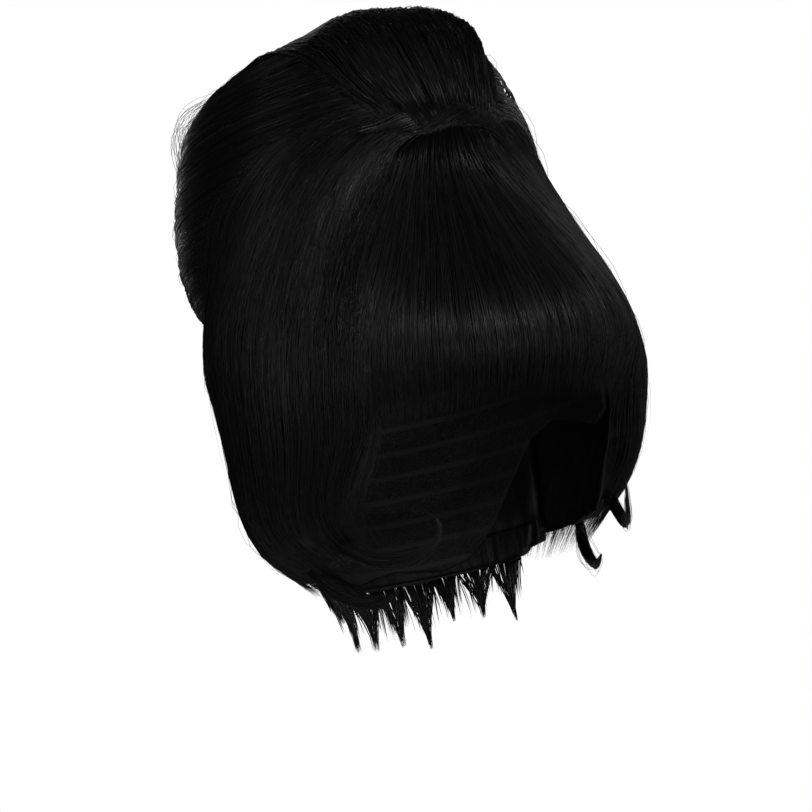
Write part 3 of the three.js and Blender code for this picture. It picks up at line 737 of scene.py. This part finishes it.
class StrandSet:
    """Strands gathered in locks. Values of a strand are columns, shares of its length a row."""

    def __init__(self, context, seed, triangles, steps, loose_part, locks, spread=0.55):
        self.context, self.sizes = context, context.scene.wig_hair
        self.draw = np.random.default_rng(self.sizes.seed + seed)
        self.shape = (strand_count(context, triangles, steps), 1)
        self.share = np.linspace(0, 1, steps)
        self.loose = self.random() < loose_part
        self.lock = self.draw.integers(0, locks, self.shape)
        self.middle = (self.lock + 0.5) / locks
        self.place = np.clip(self.middle + self.uniform(-spread, spread) / locks, 0, 1)

    def random(self):
        return self.draw.random(self.shape)

    def uniform(self, low, high):
        return self.draw.uniform(low, high, self.shape)

    def across(self, tip_pull, start):
        """Places across the hair, drawn to the middle of the lock towards the tip."""
        pull = tip_pull * smooth_share((self.share - start) / (1 - start))
        return self.place + (self.middle - self.place) * pull

    def strays(self, reach, part=0.1):
        """The sideways drift of the few strands that cross the others."""
        drift = np.where(self.random() < part, self.draw.normal(0, reach, self.shape), 0)
        return drift * (self.share - self.random())

    def crowded(self, power, size):
        """Draws from 0 to a size, with most of them near 0."""
        return self.random() ** power * size

    def wander(self, seed, width, along, coarse, fine, reach):
        """A slow drift sideways that neighbouring strands share."""
        return ripple(self.sizes.seed + seed, self.place * width, along, coarse, fine, 4) * reach

    def relief(self, across, along, **values):
        return combed_relief(self.sizes, across, along, **values)

    def lift(self):
        """How far each strand stands off the hair, along its length."""
        base = self.uniform(-0.5, 0.45) * MM
        swell = self.uniform(0.1, 0.4) * MM
        waves = self.uniform(0.8, 2.6) * self.share + self.random()
        reach = self.uniform(0.2, 1.0) ** 3 * self.sizes.flyaway_reach
        begin, stretch = self.uniform(0, 0.75), self.uniform(0.15, 0.6)
        bow = np.sin(np.clip((self.share - begin) / stretch, 0, 1) * math.pi)
        return np.where(self.loose, reach * bow + 0.2 * MM, base + swell * np.sin(waves * TURN))

    def under(self, part, depth):
        """How deep some of the strands run under the others towards their tips."""
        deep = np.where(self.random() < part, self.random(), 0) * depth
        return deep * smooth_share((self.share - 0.2) / 0.6)

    def lay(self, name, laid, stout=1.0):
        add_strands(self.context, name, laid, self.draw, self.loose, stout)


# The pieces

class WIG_OT_fringe(bpy.types.Operator):
    """Full fringe that fans out of the knot and turns under above the brow"""
    bl_idname = "wig.fringe"
    bl_label = "Fringe"

    def execute(self, context):
        packed_hair(
            context, "fringe_hair", "fringe", 2.8 * MM, comb_down, sink=1.2 * MM, trim=trim_fringe)
        hair = StrandSet(context, seed=1, triangles=154000, steps=14, loose_part=0.035, locks=46)
        half = 1.03
        fan = (hair.across(tip_pull=0.45, start=0.7) * 2 - 1) * half
        fan += hair.strays(reach=0.09)
        top = WAIST_FRONT - 2 * MM - hair.crowded(power=1.4, size=70 * MM)
        end_angle = (hair.place * 2 - 1) * cheek_angle(BROW_LEVEL)
        bottom = np.maximum(LOWER.low_at(end_angle), FRINGE_BOTTOM) - hair.uniform(-4, 4) * MM
        height = between(top, bottom, hair.share ** 0.9)
        wander = hair.wander(11, 0.15, height, coarse=40 * MM, fine=12 * MM, reach=0.015)
        angle = (fan + wander) * cheek_angle(height)
        lift = hair.lift() - hair.under(part=0.3, depth=9 * MM)
        tuck = smooth_share((hair.share - 0.86) / 0.14) * hair.uniform(1, 5) * MM
        lift += hair.relief(fan * FRINGE_HALF, height) - tuck - turn_under(angle, height)
        hair.lay("fringe_strands", level_points(WHOLE, angle, height, lift))
        return {"FINISHED"}


class WIG_OT_sides(bpy.types.Operator):
    """Side locks that leave the knot along the waist and fall past the ears to the jaw"""
    bl_idname = "wig.sides"
    bl_label = "Side locks"

    def execute(self, context):
        front_angle, ahead, behind = math.radians(70), 0.012, 0.03
        curtain_width, curtain_share = 0.1, 0.14
        for side, word in SIDE_NAMES:
            packed_hair(
                context, f"side_hair_{word}", f"side_lock_{word}", 2.8 * MM, comb_down,
                sink=1.2 * MM, rounds=12, trim=trim_side)
            hair = StrandSet(
                context, seed=20 + side, triangles=76000, steps=13, loose_part=0.04, locks=34)
            hair.place = np.where(
                hair.random() < curtain_share, hair.crowded(1.5, curtain_width), hair.place)
            across = hair.across(tip_pull=0.5, start=0.7)
            across += hair.strays(reach=0.07)
            end_angle = front_angle + hair.place * (BACK_ANGLE - front_angle)
            bottom = LOWER.low_at(side * end_angle) - hair.uniform(-16, 2) * MM
            top = WAIST_FRONT - 3 * MM - hair.crowded(power=1.1, size=120 * MM)
            height = between(top, bottom, hair.share ** 1.25)
            near = cheek_angle(height) - ahead
            far = np.minimum(BACK_ANGLE + behind, waist_angle(height - 3 * MM))
            wander = hair.wander(21, 0.1, height, coarse=50 * MM, fine=15 * MM, reach=0.012)
            angle = near + (across + wander) * np.maximum(far - near, 0)
            lift = hair.lift() - hair.under(part=0.15, depth=8 * MM)
            curtain = hair.random() * np.clip(1 - hair.place / curtain_width, 0, 1) * 13 * MM
            lift -= curtain * smooth_share((CHEEK_LEVEL - height) / (25 * MM))
            lift += hair.relief(across * SIDE_WIDTH, height)
            hair.lay(f"side_strands_{word}", level_points(WHOLE, side * angle, height, lift))
        return {"FINISHED"}


class WIG_OT_cascade(bpy.types.Operator):
    """Strands that leave the knot over the sweeps and turn down across the waist"""
    bl_idname = "wig.cascade"
    bl_label = "Waist strands"

    def execute(self, context):
        for side, word in SIDE_NAMES:
            hair = StrandSet(
                context, seed=90 + side, triangles=56000, steps=17, loose_part=0.05, locks=26)
            across = hair.across(tip_pull=0.4, start=0.6)
            across += hair.strays(reach=0.2)
            first = np.radians(1 + 14 * hair.random())
            last = np.radians(44 + 78 * across)
            top = (33 + 17 * across) * MM
            bottom = -(45 + 75 * hair.random()) * MM
            travel = between(hair.crowded(power=1.6, size=0.5), 1, hair.share)
            angle = first + (last - first) * np.sin(travel * math.pi / 2) ** 0.9
            arch = np.sin(travel * math.pi) * across * 9 * MM
            height = top + arch - (top - bottom) * travel ** 2.2
            lift = hair.lift() + 0.3 * MM + hair.relief(
                across * SIDE_WIDTH, height, seed=91, coarse=12 * MM, fine=4 * MM, part=0.4)
            hair.lay(f"waist_strands_{word}", level_points(WHOLE, side * angle, height, lift))
        return {"FINISHED"}


class WIG_OT_back(bpy.types.Operator):
    """Back drape that falls from the waist to the neck"""
    bl_idname = "wig.back"
    bl_label = "Back drape"

    def execute(self, context):
        packed_hair(
            context, "back_hair", "back_drape", 3.1 * MM, comb_back, sink=1.0 * MM, trim=trim_back)
        hair = StrandSet(context, seed=30, triangles=70000, steps=11, loose_part=0.04, locks=42)
        across = hair.across(tip_pull=0.5, start=0.7)
        across += hair.strays(reach=0.05)
        overlap, most_lean = 0.04, 0.28
        half = math.pi - BACK_ANGLE + overlap
        offset = (across * 2 - 1) * half
        lean = 1 + most_lean * (1 - hair.share) ** 2
        end_angle = math.pi + (hair.place * 2 - 1) * half
        top = waist_height(end_angle) + 3 * MM - hair.crowded(power=1.3, size=90 * MM)
        bottom = LOWER.low_at(end_angle) - hair.uniform(-14, 2) * MM
        height = between(top, bottom, hair.share)
        angle = math.pi + np.clip(offset * lean, -half * 1.02, half * 1.02)
        lift = hair.lift() + hair.relief(offset * AROUND_RADIUS, height)
        hair.lay("back_strands", level_points(WHOLE, angle, height, lift))
        return {"FINISHED"}


def shoulder_flyaways(hair, side, count):
    """Long loose strands that stand off the shoulder of the upper tier."""
    draw, share, shape = hair.draw, hair.share, (count, 1)
    middle = draw.normal(math.radians(120), math.radians(8), shape)
    lean = draw.normal(0, math.radians(10), shape)
    first = np.radians(draw.uniform(16, 48, shape))
    rise = first + np.radians(draw.uniform(14, 32, shape)) * share
    reach = draw.random(shape) ** 1.5 * 8 * MM
    lift = 0.3 * MM + reach * np.sin(share * math.pi)
    return upper_points(side * (middle + lean * (share - 0.5)), rise, lift)


class WIG_OT_sweeps(bpy.types.Operator):
    """Upper tier, swept from the knot round each side to the back"""
    bl_idname = "wig.sweeps"
    bl_label = "Sweeps"

    def execute(self, context):
        past_waist, past_crease = 0.05, 0.09
        for side, word in SIDE_NAMES:
            packed_hair(
                context, f"sweep_hair_{word}", f"sweep_{word}", 3.2 * MM, comb_round,
                sink=1.0 * MM)
            hair = StrandSet(
                context, seed=40 + side, triangles=84000, steps=15, loose_part=0.08, locks=40)
            across = hair.across(tip_pull=0.3, start=0.75)
            across += hair.strays(reach=0.08)
            start = math.radians(5) + hair.crowded(power=1.5, size=math.radians(85))
            end = math.radians(199) - hair.crowded(power=1.3, size=math.radians(48))
            angle = between(start, end, hair.share ** 1.15)
            low = UPPER.low_at(side * angle) - past_waist
            high = UPPER.high_at(side * angle) + past_crease
            wander = hair.wander(
                41, 0.12, angle * 0.1, coarse=40 * MM, fine=14 * MM, reach=0.012)
            rise = low + (across + wander) * (high - low)
            height = smooth_share((across - 0.4) / 0.4)
            lift = hair.lift() * np.where(hair.loose, 0.5 + 0.8 * height, 0.75)
            lift += hair.relief(across * SWEEP_HEIGHT, angle * AROUND_RADIUS)
            lift += smooth_share((angle - math.radians(168)) / math.radians(14)) * 0.5 * MM
            fly_count = strand_count(context, 6000, len(hair.share))
            laid = [np.concatenate(pair) for pair in zip(
                upper_points(side * angle, rise, lift), shoulder_flyaways(hair, side, fly_count))]
            hair.loose = np.concatenate((hair.loose, np.ones((fly_count, 1), bool)))
            hair.lay(f"sweep_strands_{word}", laid)
        return {"FINISHED"}


class WIG_OT_roll(bpy.types.Operator):
    """Roll that runs from the knot over the top to the back"""
    bl_idname = "wig.roll"
    bl_label = "Top roll"

    def execute(self, context):
        packed_hair(context, "roll_hair", "top_roll", 2.8 * MM, comb_over, sink=1.2 * MM)
        hair = StrandSet(context, seed=50, triangles=84000, steps=15, loose_part=0.05, locks=30)
        across = hair.across(tip_pull=0.3, start=0.75) * 2 - 1
        across += hair.strays(reach=0.1)
        start = math.radians(2) + hair.crowded(power=2.2, size=math.radians(65))
        end = math.radians(194) - hair.crowded(power=1.6, size=math.radians(58))
        bend = between(start, end, hair.share)
        half = np.interp(
            bend, np.radians((5, 15, 30, 60, 110, 140, 165, 194)),
            np.array((27, 38, 47, 52, 54, 50, 36, 12)) * MM)
        spread = across * half
        lift = hair.lift() + 0.4 * MM + hair.relief(spread, bend * ROLL_RADIUS)
        hair.lay("roll_strands", roll_points(bend, spread, lift))
        return {"FINISHED"}


class WIG_OT_knot(bpy.types.Operator):
    """Small twist at the front where the tiers meet"""
    bl_idname = "wig.knot"
    bl_label = "Front knot"

    def execute(self, context):
        draw = np.random.default_rng(context.scene.wig_hair.seed + 60)
        packed_hair(
            context, "knot_hair", "front_gather", 1.3 * MM, comb_over, sink=0.4 * MM, rounds=3)
        copy = merged_copy(("front_gather",))
        spots = np.array([vert.co for vert in copy.verts])
        copy.free()
        reach = spots[:, 0].max()
        ends, slice_half, knot_radius, twist = 0.9, 0.13, 66 * MM, math.radians(110)
        stations = np.linspace(-ends, ends, 9) * reach
        near = [spots[np.abs(spots[:, 0] - x) < reach * slice_half] for x in stations]
        middles = np.array([(group.min(axis=0) + group.max(axis=0)) / 2 for group in near])
        _, deep, tall = np.ptp(near[len(near) // 2], axis=0) / 2
        share = np.linspace(0, 1, 16)
        shape = (strand_count(context, 18000, len(share)), 1)
        across = between(-draw.uniform(0.5, 1.45, shape), draw.uniform(0.5, 1.45, shape), share)
        turn = draw.uniform(0, TURN, shape) + across * twist
        ring = np.sqrt(np.maximum(1 - across ** 2, 0.05)) * draw.uniform(0.93, 1.05, shape)
        lobe = 1 + 0.12 * np.cos(3 * turn - across * 4)
        spot = across * reach
        turned = spot / knot_radius
        out = np.stack((np.sin(turned) * np.cos(turn), -np.cos(turned) * np.cos(turn),
                        np.sin(turn)), axis=-1)
        size = np.stack((ring * lobe * deep, ring * lobe * deep, ring * lobe * tall), axis=-1)
        sag = np.interp(spot, stations, middles[:, 1])
        sag += np.maximum(np.abs(across) - ends, 0) * 11 * MM
        rise = np.interp(spot, stations, middles[:, 2])
        points = np.stack((spot, sag, rise), axis=-1) + out * size
        add_strands(context, "knot_strands", (points, out), draw)
        return {"FINISHED"}


class WIG_OT_nape(bpy.types.Operator):
    """Pointed fringe of short hair that lies on the neck"""
    bl_idname = "wig.nape"
    bl_label = "Nape fringe"

    def execute(self, context):
        packed_hair(
            context, "nape_hair", "nape_fringe", 1.7 * MM, comb_back, sink=0.4 * MM, rounds=5,
            trim=trim_nape)
        tails = 10
        hair = StrandSet(
            context, seed=70, triangles=44000, steps=8, loose_part=0.03, locks=tails, spread=0.62)
        bounds = np.cumsum(np.append(0, hair.draw.uniform(0.5, 1.6, tails)))
        hair.place, hair.middle = (
            np.interp(value, np.linspace(0, 1, tails + 1), bounds / bounds[-1])
            for value in (hair.place, hair.middle))
        tail = hair.random() < 0.6
        across = hair.across(tip_pull=np.where(tail, 0.92, 0.3), start=0.25)
        half = math.pi - BACK_ANGLE - 0.02
        angle = math.pi + (across * 2 - 1) * half
        end_angle = angle[:, -1:]
        top = NAPE.high_at(end_angle)
        hang = hair.draw.uniform(-3, 11, tails)[hair.lock] - hair.random() ** 2 * 9
        bottom = NAPE.low_at(end_angle) - np.where(tail, hang, 1 - hair.random() * 11) * MM
        height = between(top, bottom, hair.share)
        lift = np.where(hair.loose, 1.2, hair.uniform(-2.6, 0.4)) * MM
        hair.lay("nape_strands", level_points(NAPE, angle, height, lift * hair.share), stout=1.5)
        return {"FINISHED"}


def lock_path(rows, side, stations):
    """The middle, width, thickness and directions of a curled lock at evenly spaced stations."""
    table = np.array(rows)
    spots = np.stack((
        -side * table[:, 0] * HEAD_WIDTH / 2, -table[:, 1] * HEAD_DEPTH / 2,
        -table[:, 2] * JAW_DROP), axis=-1)
    places = np.linspace(0, len(rows) - 1, stations)
    index = np.minimum(places.astype(int), len(rows) - 2)
    part = (places - index)[:, None]
    held = np.concatenate((2 * spots[:1] - spots[1:2], spots, 2 * spots[-1:] - spots[-2:-1]))
    before, first, second, after = (held[index + step] for step in range(4))
    centre = 0.5 * (
        2 * first + (second - before) * part
        + (2 * before - 5 * first + 4 * second - after) * part ** 2
        + (3 * first - before - 3 * second + after) * part ** 3)
    wide = np.interp(places, np.arange(len(rows)), table[:, 3])
    thick = np.interp(places, np.arange(len(rows)), table[:, 4])
    along = unit(np.gradient(centre, axis=0))
    out = np.array((side, -0.35, 0.0))
    out = unit(out - along * (along @ out)[:, None])
    broad = np.cross(along, out)
    return centre, wide, thick, along, out, broad


def lock_body(name, path, width, thickness, sides=12, full=0.86, tip=0.35):
    """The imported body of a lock: a tapering tube along its path, closed at both ends."""
    centre, wide, thick, along, out, broad = path
    body = bmesh.new()
    last = len(centre) - 1
    before = []
    for station in range(last + 1):
        size = full if station < last else tip
        shape = Matrix.Identity(4)
        shape.col[0].xyz = Vector(broad[station] * wide[station] * width / 2 * size)
        shape.col[1].xyz = Vector(out[station] * thick[station] * thickness / 2 * size)
        shape.col[2].xyz = Vector(along[station])
        shape.col[3].xyz = Vector(centre[station])
        made = bmesh.ops.create_circle(
            body, cap_ends=station in (0, last), segments=sides, radius=1.0, matrix=shape)
        ring = list({edge for vert in made["verts"] for edge in vert.link_edges})
        if before:
            bmesh.ops.bridge_loops(body, edges=before + ring)
        before = ring
    bmesh.ops.recalc_face_normals(body, faces=body.faces)
    mesh = bpy.data.meshes.new(name)
    body.to_mesh(mesh)
    body.free()
    finish_body(mesh, *comb_back(vertex_values(mesh, "co")))
    return mesh


def curled_lock(context, node, rows, side, width, thickness, draw, count, steps):
    """A tapering lock that curls along its rows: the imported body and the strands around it."""
    path = lock_path(rows, side, 2 * steps)
    mesh = lock_body(f"{node}_hair", path, width, thickness)
    mass = material_once("mass", mass_material, context.scene.wig_colours)
    piece = add_piece(f"{node}_hair", mesh, mass)
    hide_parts(node)

    centre, wide, thick, _, out, broad = path
    share, shape = np.linspace(0, 1, steps), (count, 1)
    length = 1 - draw.random(shape) ** 2.2 * 0.35
    travel = between(draw.random(shape) * 0.15, length, share)
    places = np.linspace(0, 1, len(centre))

    def read(values):
        return np.stack([np.interp(travel, places, values[:, axis]) for axis in range(3)], axis=-1)

    turn = draw.uniform(0, TURN, shape) + share * 0.6
    depth = np.sqrt(draw.uniform(0.55, 1.15, shape)) * (1 - 0.25 * share ** 3)
    loose = draw.random(shape) < 0.14
    depth *= 1 + loose * draw.uniform(0.5, 2.6, shape) * share
    around = np.cos(turn) * np.interp(travel, places, wide) * width / 2 * depth
    away = np.sin(turn) * np.interp(travel, places, thick) * thickness / 2 * depth
    points = read(centre) + read(broad) * around[..., None] + read(out) * away[..., None]
    outs = unit(read(broad) * np.cos(turn)[..., None] + read(out) * np.sin(turn)[..., None])
    add_strands(context, f"{node}_strands", (points, outs), draw, loose)


class WIG_OT_curls(bpy.types.Operator):
    """Cheek curls that turn forward and up, and the short flicks behind them"""
    bl_idname = "wig.curls"
    bl_label = "Cheek curls and jaw flicks"

    def execute(self, context):
        for side, word in SIDE_NAMES:
            draw = np.random.default_rng(context.scene.wig_hair.seed + 80 + side)
            curled_lock(
                context, f"cheek_curl_{word}", CURL_ROWS, side, CURL_WIDTH, CURL_THICKNESS,
                draw, count=110, steps=18)
            curled_lock(
                context, f"jaw_flick_{word}", FLICK_ROWS, side, FLICK_WIDTH, FLICK_THICKNESS,
                draw, count=110, steps=12)
        return {"FINISHED"}


class WIG_OT_cap(bpy.types.Operator):
    """Stretch cap that the hair is sewn to"""
    bl_idname = "wig.cap"
    bl_label = "Cap"

    def execute(self, context):
        net = net_material(context.scene.wig_cap)
        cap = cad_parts["wig_cap"]
        cap.data.materials.clear()
        cap.data.materials.append(net)
        return {"FINISHED"}


# Stage, lights and camera

def facing(azimuth, elevation):
    """The way from the wig to a spot at this azimuth and elevation, in degrees."""
    turn, rise = math.radians(azimuth), math.radians(elevation)
    return Vector((
        math.sin(turn) * math.cos(rise), -math.cos(turn) * math.cos(rise), math.sin(rise)))


def add_light(name, azimuth, elevation, distance, size, power, aim):
    """A round soft light that points at the aim."""
    data = bpy.data.lights.new(name, "AREA")
    data.shape = "DISK"
    data.size = size
    data.energy = power
    light = add_object(name, data)
    back = facing(azimuth, elevation)
    light.location = aim + back * distance
    light.rotation_euler = (-back).to_track_quat("-Z", "Y").to_euler()


def add_world(strength):
    """A white backdrop for the camera, which lights the wig far less than it shows."""
    world = bpy.data.worlds.new("studio")
    world.use_nodes = True
    tree = world.node_tree
    shown, end = tree.nodes["Background"], tree.nodes["World Output"]
    soft = add_node(tree, "ShaderNodeBackground")
    for shade, level in ((shown, 1.0), (soft, strength)):
        shade.inputs["Color"].default_value = (1, 1, 1, 1)
        shade.inputs["Strength"].default_value = level
    path = add_node(tree, "ShaderNodeLightPath")
    mix = add_node(tree, "ShaderNodeMixShader")
    wire(tree, (path, "Is Camera Ray", mix, "Fac"), (soft, 0, mix, 1), (shown, 0, mix, 2),
         (mix, 0, end, "Surface"))
    return world


class WIG_OT_stage(bpy.types.Operator):
    """Pale floor, soft studio light and a camera at the photograph's angle"""
    bl_idname = "wig.stage"
    bl_label = "Stage"

    def execute(self, context):
        stage = context.scene.wig_stage
        ground = bmesh.new()
        bmesh.ops.create_circle(
            ground, cap_ends=True, segments=96, radius=stage.floor_radius,
            matrix=Matrix.Translation((0, 0, -stage.floor_drop)))
        mesh = bpy.data.meshes.new("floor")
        ground.to_mesh(mesh)
        ground.free()
        mesh.materials.append(floor_material())
        floor = add_object("floor", mesh)

        context.scene.world = add_world(strength=0.075)
        context.scene.view_settings.view_transform = "Standard"
        middle, eyes = Vector((0, 0, -40 * MM)), Vector((0, 0, -112 * MM))
        for name, (azimuth, elevation, distance, size, source, part) in LIGHTS.items():
            power = getattr(stage, source) * part
            add_light(name, azimuth, elevation, distance, size, power, middle)

        turn, roll = math.radians(CAMERA_TURN), math.radians(CAMERA_ROLL)
        back = facing(CAMERA_TURN, CAMERA_RISE)
        across = Vector((math.cos(turn), math.sin(turn), 0))
        upright = back.cross(across)
        aside, above = -14.2 * MM, 32.2 * MM
        aim = eyes + across * aside + upright * above
        right = across * math.cos(roll) + upright * math.sin(roll)
        up = upright * math.cos(roll) - across * math.sin(roll)
        data = bpy.data.cameras.new("camera")
        data.lens, data.sensor_width = stage.lens, 36
        camera = add_object("camera", data)
        place = Matrix((right, up, back)).transposed().to_4x4()
        place.translation = aim + back * CAMERA_DISTANCE
        camera.matrix_world = place
        context.scene.camera = camera
        return {"FINISHED"}


STEPS = (
    WIG_OT_stage, WIG_OT_cap, WIG_OT_fringe, WIG_OT_sides, WIG_OT_back, WIG_OT_sweeps,
    WIG_OT_cascade, WIG_OT_roll, WIG_OT_knot, WIG_OT_nape, WIG_OT_curls,
)


GROUPS = {
    "wig_hair": HairSizes, "wig_colours": HairColours, "wig_cap": CapFinish,
    "wig_stage": StageSizes,
}


class WIG_PT_panel(bpy.types.Panel):
    """Sizes, colours and steps of the wig"""
    bl_label = "Beehive wig"
    bl_idname = "WIG_PT_panel"
    bl_space_type = "VIEW_3D"
    bl_region_type = "UI"
    bl_category = "Wig"

    def draw(self, context):
        for name, kind in GROUPS.items():
            box = self.layout.box()
            for key in kind.__annotations__:
                box.prop(getattr(context.scene, name), key)
        for step in STEPS:
            self.layout.operator(step.bl_idname)


CLASSES = (*GROUPS.values(), *STEPS, WIG_PT_panel)


def register():
    for one in CLASSES:
        bpy.utils.register_class(one)
    for name, kind in GROUPS.items():
        setattr(bpy.types.Scene, name, PointerProperty(type=kind))


def unregister():
    for name in GROUPS:
        delattr(bpy.types.Scene, name)
    for one in reversed(CLASSES):
        bpy.utils.unregister_class(one)


def main():
    register()
    for step in STEPS:
        group, word = step.bl_idname.split(".")
        getattr(getattr(bpy.ops, group), word)()


if __name__ == "__main__":
    main()
